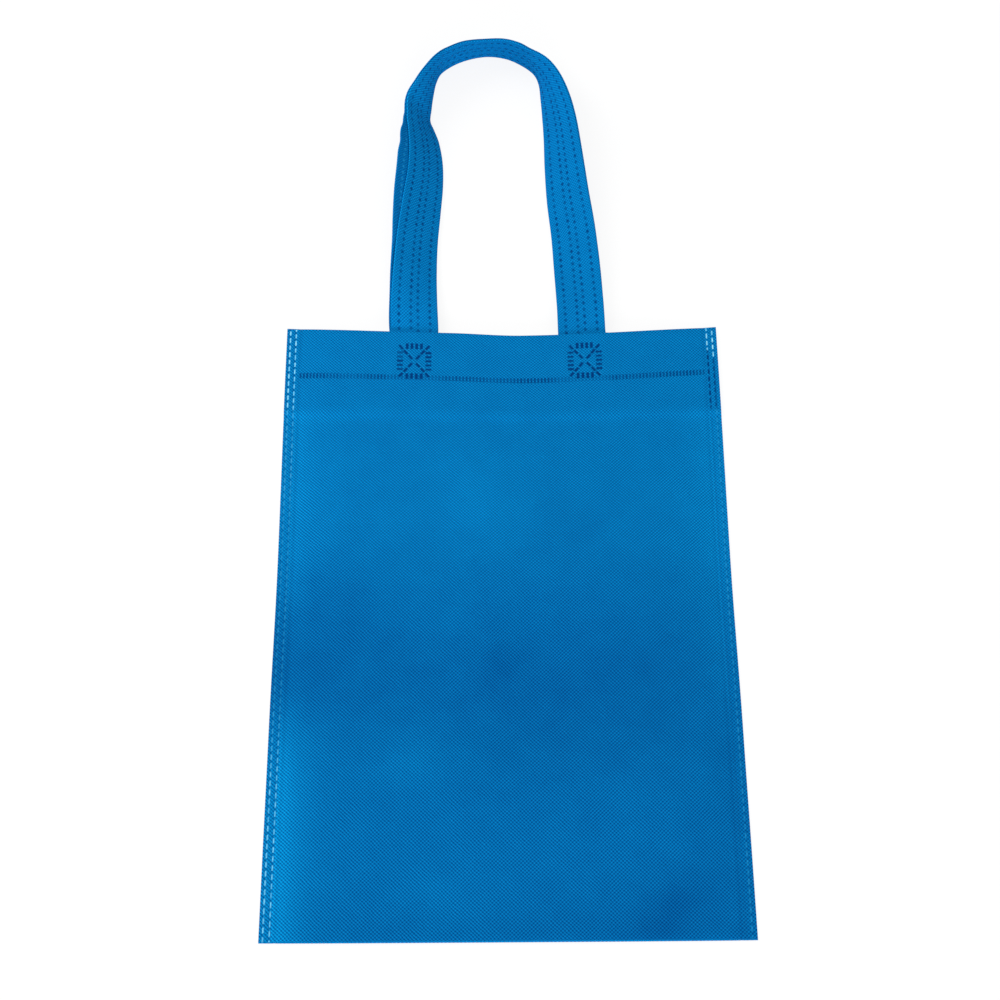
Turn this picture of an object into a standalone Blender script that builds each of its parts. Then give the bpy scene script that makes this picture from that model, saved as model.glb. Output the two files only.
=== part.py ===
"""Flat non-woven carrier bag with two welded loop handles, lying on its back panel.

Metres, +Z up. X runs across the bag and +Y runs towards the handles. The origin is
the middle of the back panel's flat underside. The body is one sheet, folded at the
bottom and hemmed inwards at the mouth, with its two sides welded. Each handle is a
folded strap whose two ends lie against the inside of one hem.
"""
from math import asin, atan2, ceil, cos, degrees, pi, radians, sin

import bmesh
import bpy
from mathutils import Vector

# Cloth
SHEET = 0.00045            # thickness of one layer of cloth
LAYER_GAP = 0.0002         # air between two layers that lie loosely together
PIECE_GAP = 0.0003         # air between two pieces that touch

# Body
BAG_WIDTH = 0.255
BAG_HEIGHT = 0.376         # bottom fold to top fold, along a side
MOUTH_DIP = 0.0092         # how far the top edge curves in at its middle
LEFT_SLACK = 0.81          # share of that curve on the left half, where the edge is tighter
HEM_DEPTH = 0.058          # top fold to the hem's cut edge
HEM_WELD_DEPTH = 0.0333    # top fold to the middle of the hem's weld row
HEM_WELD_HEIGHT = 0.0037
WELD_SINK = 0.0002         # depth of every weld mark
HEM_STEP = 0.005           # length over which the layers settle below the hem

# Side seams
SEAM_WIDTH = 0.0080
SEAM_ROWS = (0.0024, 0.0058)   # cut edge to the middle of each weld row
SEAM_ROW_WIDTH = 0.0009

# Air inside the body: height of the front panel above the seams, by share of height
SWELL_KNOTS = ((0.0, 0.0006), (0.29, 0.0062), (0.55, 0.0124), (1.0, 0.0046))
SWELL_SQUARENESS = 4       # higher is flatter in the middle and steeper at the seams
# Soft hills and hollows: across, along (shares of the half width and the height),
# spread across, spread along, height
HILLS = (
    (-0.12, 0.69, 0.24, 0.12, 0.0011),
    (0.12, 0.44, 0.18, 0.08, -0.0008),
    (-0.52, 0.44, 0.28, 0.07, -0.0008),
    (0.62, 0.40, 0.28, 0.09, -0.0007),
    (-0.35, 0.24, 0.30, 0.07, 0.0007),
    (0.60, 0.12, 0.25, 0.08, -0.0006),
)

# Handles
STRAP_WIDTH = 0.0280
STRAP_SLIT = 0.0004        # gap between the strap's two cut edges, on its underside
STRAP_FACETS = 4           # flat bands across each face of the strap
STRAP_TURN = 6             # degrees of roll and turn between two sections
STRAP_TUCK = 0.037         # top fold to the strap's end inside the mouth
STRAP_SETTLE = 0.060       # length over which a leg comes down from the mouth
LOOP_HEIGHT = 0.2105       # bag's top fold at the sides to the inner edge of the arch
FLOOR_GAP = 0.0001         # under the lowest edge of the handles
HANDLE_SPACING = 0.1002    # between the two box welds of a handle
HANDLE_SHIFT = -0.0016     # the handles' middle, off the bag's middle
RIGHT_FOOT_LEAN = 0.0009   # how far the right leg leans in, from its box weld to the top fold
FOOT_TURN = 11             # degrees that a leg may turn in plan just past the mouth

# Box welds
BOX_DEPTH = 0.0198         # top fold to the middle of the right box weld
LEFT_BOX_SINK = 0.0016     # how much lower the left one sits
BOX_WIDTH = 0.0202
BOX_HEIGHT = 0.0260
BOX_BARS_ACROSS = 4        # upright bars in the top and the bottom group
BOX_BARS_DOWN = 5          # level bars in each side group
BOX_UPRIGHT_PITCH = 0.0028
BOX_LEVEL_PITCH = 0.0030
BOX_UPRIGHT_LENGTH = 0.0041
BOX_LEVEL_LENGTH = 0.0035
BOX_BAR_WIDTH = 0.0012
BOX_CROSS_DASHES = 3       # on each half of a diagonal
BOX_CROSS_GAP = 0.0010     # between two dashes of a diagonal
BOX_CROSS_START = 0.0019   # centre to the inner end of a diagonal's first dash
BOX_CROSS_REACH = 0.0144   # centre to the outer end of a diagonal

# Handle route: the strap's lower, inner edge. Across as a share of the way from the
# left foot to the right one, rise as a share of the loop's height, and roll of the
# strap from lying flat, outer edge up.
LEFT_LEG = (
    (-0.008, 0.071, 12),
    (-0.014, 0.171, 24),
    (-0.008, 0.285, 31),
    (0.015, 0.394, 36),
    (0.035, 0.494, 41),
    (0.032, 0.580, 44),
    (0.000, 0.656, 47),
    (-0.044, 0.705, 52),
    (-0.080, 0.742, 61),
    (-0.073, 0.785, 71),
    (-0.060, 0.836, 82),
)
ARCH = (
    (-0.032, 0.896, 95),
    (0.028, 0.937, 102),
    (0.192, 0.976, 106),
    (0.402, 0.996, 110),
    (0.588, 0.988, 107),
    (0.737, 0.960, 103),
    (0.843, 0.925, 100),
)
RIGHT_LEG = (
    (0.885, 0.884, 89),
    (0.896, 0.827, 71),
    (0.905, 0.760, 58),
    (0.914, 0.675, 48),
    (0.917, 0.561, 38),
    (0.930, 0.437, 29),
    (0.960, 0.314, 22),
    (0.977, 0.190, 14),
    (0.992, 0.071, 6),
)
# How far the back handle's left leg stands out sideways, and its course along the leg:
# share of the loop's height, share of the most
BACK_SLIDE_MOST = 0.0079
BACK_SLIDE = ((0.0, 0.15), (0.12, 0.015), (0.54, 1.0), (0.61, 0.80), (0.755, 0.0))
BACK_WEDGE = 0.0065        # how far its lower edge stands off the front handle's arch
BACK_WEDGE_ROLL = 18       # degrees past upright over which it stands off

# Colours as linear red, green, blue
BAG_BLUE = (0.0021, 0.171, 0.479)
HANDLE_BLUE = (0.0018, 0.163, 0.470)

# Worked out from the sizes above
HALF_WIDTH = BAG_WIDTH / 2
POUCH_EDGE = HALF_WIDTH - SEAM_WIDTH
SEAM_STACK = 2 * SHEET + LAYER_GAP
HEM_THICKNESS = 2 * SHEET + LAYER_GAP
HEM_STACK = 2 * HEM_THICKNESS + LAYER_GAP
HEM_EDGE = BAG_HEIGHT - HEM_DEPTH
HEM_WELD_LINE = BAG_HEIGHT - HEM_WELD_DEPTH
STRAP_THICKNESS = 2 * SHEET + LAYER_GAP / 2
STRAP_STACK = 2 * STRAP_THICKNESS + PIECE_GAP
ARC_STEPS = 4


def ease(t):
    """Smooth step from 0 to 1."""
    t = min(max(t, 0.0), 1.0)
    return t * t * (3 - 2 * t)


def blend(low, high, t):
    return low + (high - low) * t


def through_knots(knots, at):
    """Height of a curve that eases from each knot to the next."""
    for (start, low), (end, high) in zip(knots, knots[1:]):
        if at <= end:
            return blend(low, high, ease((at - start) / (end - start)))
    return knots[-1][1]


def swell(across, along):
    """Rise of the front panel above the seams, from the air inside."""
    share = min(abs(across) / POUCH_EDGE, 1.0)
    dome = 1 - share ** SWELL_SQUARENESS
    height = through_knots(SWELL_KNOTS, along / BAG_HEIGHT)
    quiet = ease((1 - along / BAG_HEIGHT) / 0.2) * ease(along / BAG_HEIGHT / 0.1)
    for x, y, wide, tall, rise in HILLS:
        far = ((across / POUCH_EDGE - x) / wide) ** 2 + ((along / BAG_HEIGHT - y) / tall) ** 2
        height += rise * quiet / (1 + far) ** 2
    return dome * height


def outer_edge_share(across):
    """0 at the pouch, 1 at the cut edge of the side seam."""
    return max(abs(across) - POUCH_EDGE, 0.0) / SEAM_WIDTH


def front_height(across, along):
    """Top of the front panel's outer face."""
    in_hem = ease((along - HEM_EDGE + HEM_STEP) / HEM_STEP)
    at_pouch = blend(SEAM_STACK, HEM_STACK, in_hem)
    at_edge = blend(2 * SHEET, 4 * SHEET, in_hem)
    stack = blend(at_pouch, at_edge, outer_edge_share(across))
    return stack + swell(across, along)


def place(across, along):
    """World X and Y of a point this far across and above the bottom fold on a panel."""
    share = across / HALF_WIDTH
    slack = blend(1.0, LEFT_SLACK, ease((0.1 - share) / 0.35))
    dip = MOUTH_DIP * slack * (1 - share ** 2)
    y = along - BAG_HEIGHT / 2 - dip * (along / BAG_HEIGHT) ** 1.5
    arch = through_knots(SWELL_KNOTS, along / BAG_HEIGHT)
    pull = 4 / 3 * arch ** 2 / BAG_WIDTH
    return across * (1 - pull / HALF_WIDTH), y


def hem_face(across, along):
    """Underside of the front hem, where the front handle lies."""
    return front_height(across, along) - HEM_THICKNESS


def seam_columns():
    """Distances from the cut edge, with three for each weld row."""
    half = SEAM_ROW_WIDTH / 2
    columns = [0.0]
    for row in SEAM_ROWS:
        columns += [row - half, row, row + half]
    return columns


def body_columns():
    """Places across the bag, each with its weld row's depth, or None at the pouch."""
    seam = [(HALF_WIDTH - d, WELD_SINK if d in SEAM_ROWS else 0.0) for d in seam_columns()]
    pouch_cells = 16
    pouch = []
    for step in range(pouch_cells + 1):
        pouch.append((-POUCH_EDGE * cos(pi * step / pouch_cells), None))
    left = [(-x, sink) for x, sink in seam]
    return left + pouch + seam[::-1]


def body_rows():
    """Distances above the bottom fold, with the hem's edge and the slit's end."""
    half = HEM_WELD_HEIGHT / 2
    start = SEAM_STACK
    below_hem = HEM_EDGE - HEM_STEP
    steps = 13
    rows = [start]
    for step in range(1, steps + 1):
        rows.append(blend(start, below_hem, step / steps))
    rows.append(HEM_EDGE)
    rows.append((HEM_EDGE + HEM_WELD_LINE - half) / 2)
    rows += [HEM_WELD_LINE - half, HEM_WELD_LINE, HEM_WELD_LINE + half]
    rows.append(BAG_HEIGHT - HEM_WELD_DEPTH / 2)
    rows.append(BAG_HEIGHT - HEM_THICKNESS / 2)
    return rows


def arc(across, along, top, bottom, way):
    """Points of the half circle between two faces, without its ends."""
    x, y = place(across, along)
    middle = (top + bottom) / 2
    radius = (top - bottom) / 2
    points = []
    for step in range(1, ARC_STEPS):
        turn = pi * step / ARC_STEPS
        points.append((x, y + way * radius * sin(turn), middle + radius * cos(turn)))
    return points


def outer_chain(across, sink, rows):
    """Outside of one section: front hem, round the bottom fold, back hem."""
    top = rows[-1]
    start = rows[0]
    high = front_height(across, top)
    hem = min(HEM_THICKNESS, (high - LAYER_GAP) / 2)
    front = []
    back = []
    for row in rows:
        dent = WELD_SINK if row == HEM_WELD_LINE else sink or 0.0
        front.append((*place(across, row), front_height(across, row) - dent))
        back.append((*place(across, row), dent))
    chain = [(*place(across, top), high - hem)]
    chain += arc(across, top, high, high - hem, 1)[::-1]
    chain += front[::-1]
    chain += arc(across, start, front[0][2], back[0][2], -1)
    chain += back
    chain += arc(across, top, hem, 0.0, 1)[::-1]
    chain.append((*place(across, top), hem))
    return chain


def inner_chain(across, rows, hem_row, slit_row):
    """Inside of one section, from the back hem down, round and up to the front hem."""
    def line(height, first, last):
        way = 1 if last >= first else -1
        return [(*place(across, rows[i]), height(rows[i])) for i in range(first, last + way, way)]

    def front(depth):
        return lambda along: front_height(across, along) - depth

    def back(depth):
        return lambda along: depth

    slit = SHEET + LAYER_GAP
    last = len(rows) - 1
    chain = line(back(HEM_THICKNESS), last - 1, hem_row)
    chain += line(back(slit), hem_row, slit_row)
    chain += line(back(SHEET), slit_row, 0)
    chain += arc(across, rows[0], front(SHEET)(rows[0]), SHEET, -1)[::-1]
    chain += line(front(SHEET), 0, slit_row)
    chain += line(front(slit), slit_row, hem_row)
    chain += line(front(HEM_THICKNESS), hem_row, last - 1)
    return chain


def skin(mesh, ring_a, ring_b):
    """Quads between two neighbouring sections."""
    for a, b, c, d in zip(ring_a, ring_a[1:], ring_b[1:], ring_b):
        mesh.faces.new((a, b, c, d))


def fold_flat(mesh, ring):
    """Faces between the two halves of a mirrored chain, up to its middle point."""
    count = len(ring)
    for k in range(count // 2):
        corners = [ring[k], ring[k + 1], ring[count - 2 - k], ring[count - 1 - k]]
        if corners[1] is corners[2]:
            corners.pop(2)
        mesh.faces.new(corners)


def close_cut_edge(mesh, ring):
    """Side edge of the bag, with the two rounded top folds closed by themselves."""
    rim = ring[:ARC_STEPS + 1]
    back_rim = ring[-ARC_STEPS - 1:]
    mesh.faces.new(rim)
    mesh.faces.new(back_rim)
    below = ARC_STEPS + 1
    mesh.faces.new((rim[0], rim[-1], ring[below], ring[-below - 1], back_rim[0], back_rim[-1]))
    fold_flat(mesh, ring[below:-below])


def close_pouch_side(mesh, ring, rows, hem_row, slit_row):
    """Wall of the pouch along a side seam, with the free hem flaps running into it."""
    last = len(rows) - 1
    hem_end = last - hem_row
    skin_start = hem_end + 2 + slit_row - hem_row
    skin_hem = skin_start + slit_row - hem_row
    count = len(ring)

    def other(index):
        return ring[count - 1 - index]

    for k in range(hem_end):
        mesh.faces.new((ring[k], ring[k + 1], other(k + 1), other(k)))
    for k in range(slit_row - hem_row):
        low = hem_end + 1 + k
        high = skin_hem - k
        mesh.faces.new((ring[low], ring[low + 1], ring[high - 1], ring[high]))
        mesh.faces.new((other(low), other(low + 1), other(high - 1), other(high)))
    mesh.faces.new((
        ring[hem_end], ring[hem_end + 1], ring[skin_hem], ring[skin_hem + 1],
        other(skin_hem + 1), other(skin_hem), other(hem_end + 1), other(hem_end),
    ))
    fold_flat(mesh, ring[skin_hem + 1:count - 1 - skin_hem])


def body_mesh():
    """The folded, hemmed and side-welded sheet as one closed body."""
    mesh = bmesh.new()
    rows = body_rows()
    hem_row = rows.index(HEM_EDGE)
    slit_row = rows.index(HEM_WELD_LINE) - 1
    columns = body_columns()
    outers = []
    inners = []
    for across, sink in columns:
        outers.append([mesh.verts.new(point) for point in outer_chain(across, sink, rows)])
        if sink is None:
            inside = [mesh.verts.new(point) for point in inner_chain(across, rows, hem_row, slit_row)]
            inners.append([outers[-1][-1]] + inside + [outers[-1][0]])
        else:
            inners.append(None)
    for outer_a, outer_b, inner_a, inner_b in zip(outers, outers[1:], inners, inners[1:]):
        skin(mesh, outer_a, outer_b)
        if inner_a and inner_b:
            skin(mesh, inner_a, inner_b)
        else:
            mesh.faces.new((outer_a[-1], outer_a[0], outer_b[0], outer_b[-1]))
    close_cut_edge(mesh, outers[0])
    close_cut_edge(mesh, outers[-1])
    pouch = [ring for ring in inners if ring]
    close_pouch_side(mesh, pouch[0], rows, hem_row, slit_row)
    close_pouch_side(mesh, pouch[-1], rows, hem_row, slit_row)
    return mesh


def box_bars():
    """Marks of one box weld: middle, length and turn of each, from its centre."""
    bars = []
    edge_y = (BOX_HEIGHT - BOX_UPRIGHT_LENGTH) / 2
    edge_x = (BOX_WIDTH - BOX_LEVEL_LENGTH) / 2
    for side in (-1, 1):
        for k in range(BOX_BARS_ACROSS):
            x = (k - (BOX_BARS_ACROSS - 1) / 2) * BOX_UPRIGHT_PITCH
            bars.append((x, side * edge_y, BOX_UPRIGHT_LENGTH, pi / 2))
        for k in range(BOX_BARS_DOWN):
            y = (k - (BOX_BARS_DOWN - 1) / 2) * BOX_LEVEL_PITCH
            bars.append((side * edge_x, y, BOX_LEVEL_LENGTH, 0.0))
    pitch = (BOX_CROSS_REACH - BOX_CROSS_START + BOX_CROSS_GAP) / BOX_CROSS_DASHES
    dash = pitch - BOX_CROSS_GAP
    lean = atan2(BOX_HEIGHT, BOX_WIDTH)
    for turn in (lean, pi - lean):
        for side in (-1, 1):
            for k in range(BOX_CROSS_DASHES):
                far = side * (BOX_CROSS_START + dash / 2 + k * pitch)
                bars.append((far * cos(turn), far * sin(turn), dash, turn))
    return bars


def box_cutter_mesh(middle, on_front):
    """Bars that press one box weld into the front or the back panel."""
    mesh = bmesh.new()
    along_middle = BAG_HEIGHT - BOX_DEPTH - (LEFT_BOX_SINK if middle < 0 else 0.0)
    for x, y, length, turn in box_bars():
        run = Vector((cos(turn), sin(turn))) * length / 2
        side = Vector((-sin(turn), cos(turn))) * BOX_BAR_WIDTH / 2
        low = []
        high = []
        for corner in (run + side, side - run, -run - side, run - side):
            across = middle + x + corner.x
            along = along_middle + y + corner.y
            face = front_height(across, along) if on_front else 0.0
            inward = -1 if on_front else 1
            low.append(mesh.verts.new((*place(across, along), face + inward * WELD_SINK)))
            high.append(mesh.verts.new((*place(across, along), face - inward * SHEET)))
        mesh.faces.new(low)
        mesh.faces.new(high)
        for k in range(len(low)):
            after = (k + 1) % len(low)
            mesh.faces.new((low[k], low[after], high[after], high[k]))
    return mesh


def strap_section():
    """Closed section of the folded strap: across from its inner edge, and depth."""
    radius = STRAP_THICKNESS / 2
    centre = STRAP_WIDTH / 2
    reach = STRAP_WIDTH - STRAP_THICKNESS
    bands = [radius + reach * k / STRAP_FACETS for k in range(1, STRAP_FACETS)]
    points = [(u, 0.0) for u in bands]
    for turn in (-90, -30, 30, 90):
        angle = radians(turn)
        points.append((STRAP_WIDTH - radius + radius * cos(angle), radius + radius * sin(angle)))
    points += [(u, STRAP_THICKNESS) for u in bands[::-1] if u > centre + STRAP_SLIT]
    points += [
        (centre + STRAP_SLIT / 2, STRAP_THICKNESS),
        (centre + STRAP_SLIT / 2, STRAP_THICKNESS - SHEET),
        (centre - STRAP_SLIT / 2, STRAP_THICKNESS - SHEET),
        (centre - STRAP_SLIT / 2, STRAP_THICKNESS),
    ]
    points += [(u, STRAP_THICKNESS) for u in bands[::-1] if u < centre - STRAP_SLIT]
    for turn in (90, 30, -30, -90):
        angle = radians(turn)
        points.append((radius - radius * cos(angle), radius + radius * sin(angle)))
    return points


def leg_foot(side):
    """Stations of a leg that lies on the front hem, and one straight on past the mouth."""
    stations = []
    lead = STRAP_WIDTH * sin(radians(FOOT_TURN))
    most_lean = -RIGHT_FOOT_LEAN if side > 0 else 0.0
    for share in (1.0, 0.67, 0.33, 0.0, -lead / STRAP_TUCK):
        depth = share * STRAP_TUCK
        along = BAG_HEIGHT - depth
        lean = most_lean * (1 - depth / BOX_DEPTH)
        centre = HANDLE_SHIFT + side * HANDLE_SPACING / 2 + lean
        inner = centre - side * STRAP_WIDTH / 2
        outer = centre + side * STRAP_WIDTH / 2
        inner_z = hem_face(inner, along) - PIECE_GAP
        outer_z = hem_face(outer, along) - PIECE_GAP
        roll = degrees(asin((outer_z - inner_z) / STRAP_WIDTH))
        stations.append((Vector((inner, place(inner, along)[1], inner_z)), roll))
    return stations


def free_station(share, climb, roll, left_foot, right_foot):
    """Station of a strap outside the mouth, resting on what lies below it."""
    rise = climb * LOOP_HEIGHT
    mouth_height = (left_foot.z + right_foot.z) / 2
    seat = FLOOR_GAP + STRAP_STACK * max(cos(radians(roll)), 0.0)
    height = blend(mouth_height, seat, ease(rise / STRAP_SETTLE))
    across = blend(left_foot.x, right_foot.x, share)
    return Vector((across, BAG_HEIGHT / 2 + rise, height)), roll


def strap_route():
    """Stations of the front handle from its left foot to its right foot."""
    left = leg_foot(-1)
    right = leg_foot(1)[::-1]
    feet = left[-1][0], right[0][0]
    free = [free_station(*spot, *feet) for spot in LEFT_LEG + ARCH + RIGHT_LEG]
    return left, free, right


def spline(values, at):
    """Smooth curve through a list of numbers or vectors, read at a whole or part step."""
    k = min(int(at), len(values) - 2)
    t = at - k
    before = values[max(k - 1, 0)]
    start = values[k]
    end = values[k + 1]
    after = values[min(k + 2, len(values) - 1)]
    slope_a = (end - before) / 2
    slope_b = (after - start) / 2
    cubic = start * (2 * t ** 3 - 3 * t ** 2 + 1) + end * (3 * t ** 2 - 2 * t ** 3)
    return cubic + slope_a * (t ** 3 - 2 * t ** 2 + t) + slope_b * (t ** 3 - t ** 2)


def heading(stations, k):
    """Direction of the path at a station, in plan."""
    ahead = stations[min(k + 1, len(stations) - 1)][0]
    behind = stations[max(k - 1, 0)][0]
    return (ahead - behind).to_2d()


def section_places(stations, feet):
    """Where the strap has a section, in steps along its stations."""
    places = list(range(feet))
    for k in range(feet, len(stations) - 1 - feet):
        turn = degrees(abs(heading(stations, k).angle_signed(heading(stations, k + 1))))
        roll = abs(stations[k + 1][1] - stations[k][1])
        cuts = max(1, ceil((turn + roll) / STRAP_TURN))
        places += [k + step / cuts for step in range(cuts)]
    return places + list(range(len(stations) - 1 - feet, len(stations)))


def front_frames():
    """Inner edge point, direction across, upper face normal and roll, along the strap."""
    left, free, right = strap_route()
    stations = left + free + right
    points = [point for point, roll in stations]
    rolls = [roll for point, roll in stations]
    last = len(stations) - 1
    frames = []
    for at in section_places(stations, len(left) - 1):
        here = spline(points, at)
        run = spline(points, min(at + 0.25, last)) - spline(points, max(at - 0.25, 0))
        outward = Vector((-run.y, run.x, 0.0)).normalized()
        up = run.cross(outward).normalized()
        roll = spline(rolls, at)
        across = outward * cos(radians(roll)) + up * sin(radians(roll))
        normal = up * cos(radians(roll)) - outward * sin(radians(roll))
        frames.append((here, across, normal, roll))
    return frames


def back_frames():
    """The back handle lies against its own hem and then follows the front handle."""
    behind = STRAP_THICKNESS + PIECE_GAP
    foot_height = HEM_THICKNESS + PIECE_GAP + STRAP_THICKNESS
    frames = []
    for point, across, normal, roll in front_frames():
        rise = point.y - BAG_HEIGHT / 2
        settle = ease(rise / STRAP_SETTLE)
        far = point + across * STRAP_WIDTH
        drop = max(blend(point.z - foot_height, behind, settle), behind)
        far_drop = max(blend(far.z - foot_height, behind, settle), behind)
        slide = 0.0
        if point.x < 0 and rise < BACK_SLIDE[-1][0] * LOOP_HEIGHT:
            slide = BACK_SLIDE_MOST * through_knots(BACK_SLIDE, max(rise / LOOP_HEIGHT, 0.0))
        wedge = BACK_WEDGE * ease((roll - 90) / BACK_WEDGE_ROLL)
        start = point - normal * (drop + wedge)
        lean = (far - normal * far_drop - start).normalized()
        face = lean.cross(across.cross(normal)).normalized() * -1
        if wedge > 0:
            slide = (FLOOR_GAP - start.z) / lean.z
        frames.append((start + lean * slide, lean, face, roll))
    return frames


def strap_mesh(frames):
    """Sweep the strap's section along its frames and close both ends."""
    mesh = bmesh.new()
    section = strap_section()
    rings = []
    for point, across, normal, roll in frames:
        rings.append([mesh.verts.new(point + across * u - normal * depth) for u, depth in section])
    count = len(section)
    for ring_a, ring_b in zip(rings, rings[1:]):
        for k in range(count):
            # Both faces split the same way, so a strap bent against another stays clear
            low, high = sorted((k, (k + 1) % count), key=lambda i: section[i][0])
            mesh.faces.new((ring_a[low], ring_a[high], ring_b[high]))
            mesh.faces.new((ring_a[low], ring_b[high], ring_b[low]))
    mesh.faces.new(rings[0])
    mesh.faces.new(rings[-1])
    return mesh


def cloth_material(name, colour):
    material = bpy.data.materials.new(name)
    material.use_nodes = True
    shader = material.node_tree.nodes["Principled BSDF"]
    shader.inputs["Base Color"].default_value = (*colour, 1.0)
    shader.inputs["Roughness"].default_value = 0.72
    shader.inputs["Metallic"].default_value = 0.0
    return material


def add_object(name, mesh, material=None):
    """Turn a bmesh into a named object with its faces pointing out."""
    bmesh.ops.recalc_face_normals(mesh, faces=mesh.faces)
    data = bpy.data.meshes.new(name)
    mesh.to_mesh(data)
    mesh.free()
    if material:
        data.materials.append(material)
        data.shade_smooth()
        data.set_sharp_from_angle(angle=radians(30))
    thing = bpy.data.objects.new(name, data)
    bpy.context.scene.collection.objects.link(thing)
    return thing


def press_box_welds(body):
    """Sink the four box welds into the two panels."""
    for side, place in ((-1, "left"), (1, "right")):
        middle = HANDLE_SHIFT + side * HANDLE_SPACING / 2
        for on_front, panel in ((True, "front"), (False, "back")):
            cutter = add_object("cut_box_" + panel + "_" + place, box_cutter_mesh(middle, on_front))
            cutter.hide_render = True
            cutter.display_type = "WIRE"
            cutter.parent = body
            press = body.modifiers.new("box_" + panel + "_" + place, "BOOLEAN")
            press.operation = "DIFFERENCE"
            press.solver = "EXACT"
            press.object = cutter


def main():
    for old in list(bpy.data.objects):
        bpy.data.objects.remove(old, do_unlink=True)
    bag = cloth_material("bag_cloth", BAG_BLUE)
    strap = cloth_material("handle_cloth", HANDLE_BLUE)
    body = add_object("bag_body", body_mesh(), bag)
    press_box_welds(body)
    add_object("front_handle", strap_mesh(front_frames()), strap)
    add_object("back_handle", strap_mesh(back_frames()), strap)


main()
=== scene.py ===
"""Blue non-woven carrier bag lying flat on a white table, seen from above."""
from math import asin, atan2, cos, degrees, pi, radians, sin

import bmesh
import bpy
import numpy as np
from mathutils import Matrix, Vector


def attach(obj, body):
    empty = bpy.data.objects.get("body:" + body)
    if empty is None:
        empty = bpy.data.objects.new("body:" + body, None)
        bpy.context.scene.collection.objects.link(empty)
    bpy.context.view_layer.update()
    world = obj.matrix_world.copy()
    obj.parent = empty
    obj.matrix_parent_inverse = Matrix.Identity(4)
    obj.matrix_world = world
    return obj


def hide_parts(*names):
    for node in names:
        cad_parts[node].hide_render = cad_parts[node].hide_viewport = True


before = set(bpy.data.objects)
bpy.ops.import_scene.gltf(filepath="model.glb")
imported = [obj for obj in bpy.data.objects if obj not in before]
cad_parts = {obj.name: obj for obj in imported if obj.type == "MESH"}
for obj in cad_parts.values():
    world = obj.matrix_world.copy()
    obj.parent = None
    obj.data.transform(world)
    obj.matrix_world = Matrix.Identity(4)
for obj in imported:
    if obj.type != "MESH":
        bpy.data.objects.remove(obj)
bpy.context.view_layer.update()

# Cloth
SHEET = 0.00045
LAYER_GAP = 0.0002
PIECE_GAP = 0.0003

# Body, as in the solid
BAG_WIDTH = 0.255
BAG_HEIGHT = 0.376
MOUTH_DIP = 0.0092
LEFT_SLACK = 0.81
HEM_DEPTH = 0.058
HEM_WELD_DEPTH = 0.0333
WELD_SINK = 0.0002
HEM_STEP = 0.005
SEAM_WIDTH = 0.0080
# Height of the front panel's middle by share of the bag's height, then low hills on it:
# place and spreads as shares of the pouch's half width and the height, and rise
SWELL_KNOTS = ((0.0, 0.0006), (0.29, 0.0062), (0.55, 0.0124), (1.0, 0.0046))
SWELL_SQUARENESS = 4
HILLS = (
    (-0.12, 0.69, 0.24, 0.12, 0.0011), (0.12, 0.44, 0.18, 0.08, -0.0008),
    (-0.52, 0.44, 0.28, 0.07, -0.0008), (0.62, 0.40, 0.28, 0.09, -0.0007),
    (-0.35, 0.24, 0.30, 0.07, 0.0007), (0.60, 0.12, 0.25, 0.08, -0.0006),
)

# Handles, as in the solid
STRAP_WIDTH = 0.0280
STRAP_SLIT = 0.0004
STRAP_TUCK = 0.037
STRAP_SETTLE = 0.060
LOOP_HEIGHT = 0.2105
FLOOR_GAP = 0.0001
HANDLE_SPACING = 0.1002
HANDLE_SHIFT = -0.0016
RIGHT_FOOT_LEAN = 0.0009
FOOT_TURN = 11
# Course of a strap: share of the way from foot to foot, share of LOOP_HEIGHT, roll
LEFT_LEG = (
    (-0.008, 0.071, 12), (-0.014, 0.171, 24), (-0.008, 0.285, 31), (0.015, 0.394, 36),
    (0.035, 0.494, 41), (0.032, 0.580, 44), (0.000, 0.656, 47), (-0.044, 0.705, 52),
    (-0.080, 0.742, 61), (-0.073, 0.785, 71), (-0.060, 0.836, 82),
)
ARCH = (
    (-0.032, 0.896, 95), (0.028, 0.937, 102), (0.192, 0.976, 106), (0.402, 0.996, 110),
    (0.588, 0.988, 107), (0.737, 0.960, 103), (0.843, 0.925, 100),
)
RIGHT_LEG = (
    (0.885, 0.884, 89), (0.896, 0.827, 71), (0.905, 0.760, 58), (0.914, 0.675, 48),
    (0.917, 0.561, 38), (0.930, 0.437, 29), (0.960, 0.314, 22), (0.977, 0.190, 14),
    (0.992, 0.071, 6),
)
# How far the back strap shows beside the left leg, by share of LOOP_HEIGHT
BACK_SLIDE = ((0.0, 0.15), (0.12, 0.015), (0.54, 1.0), (0.61, 0.80), (0.755, 0.0))
BACK_SLIDE_MOST = 0.0079
BACK_WEDGE = 0.0065
BACK_WEDGE_ROLL = 18

# Weld marks
HEM_DASH = (0.00055, 0.00185)  # half width, half height
HEM_DASHES = 120  # across the pouch
HEM_ROW_RISE = (0.0016, 0.0004)  # at the row's right end, at both ends
HEM_STRENGTH = (0.40, 0.20, 0.40)  # of each dash, by chance, in patches
HEM_PATCHES = ((0.23, 1.3), (0.061, 0.4))  # two waves: turn per dash, start
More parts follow.
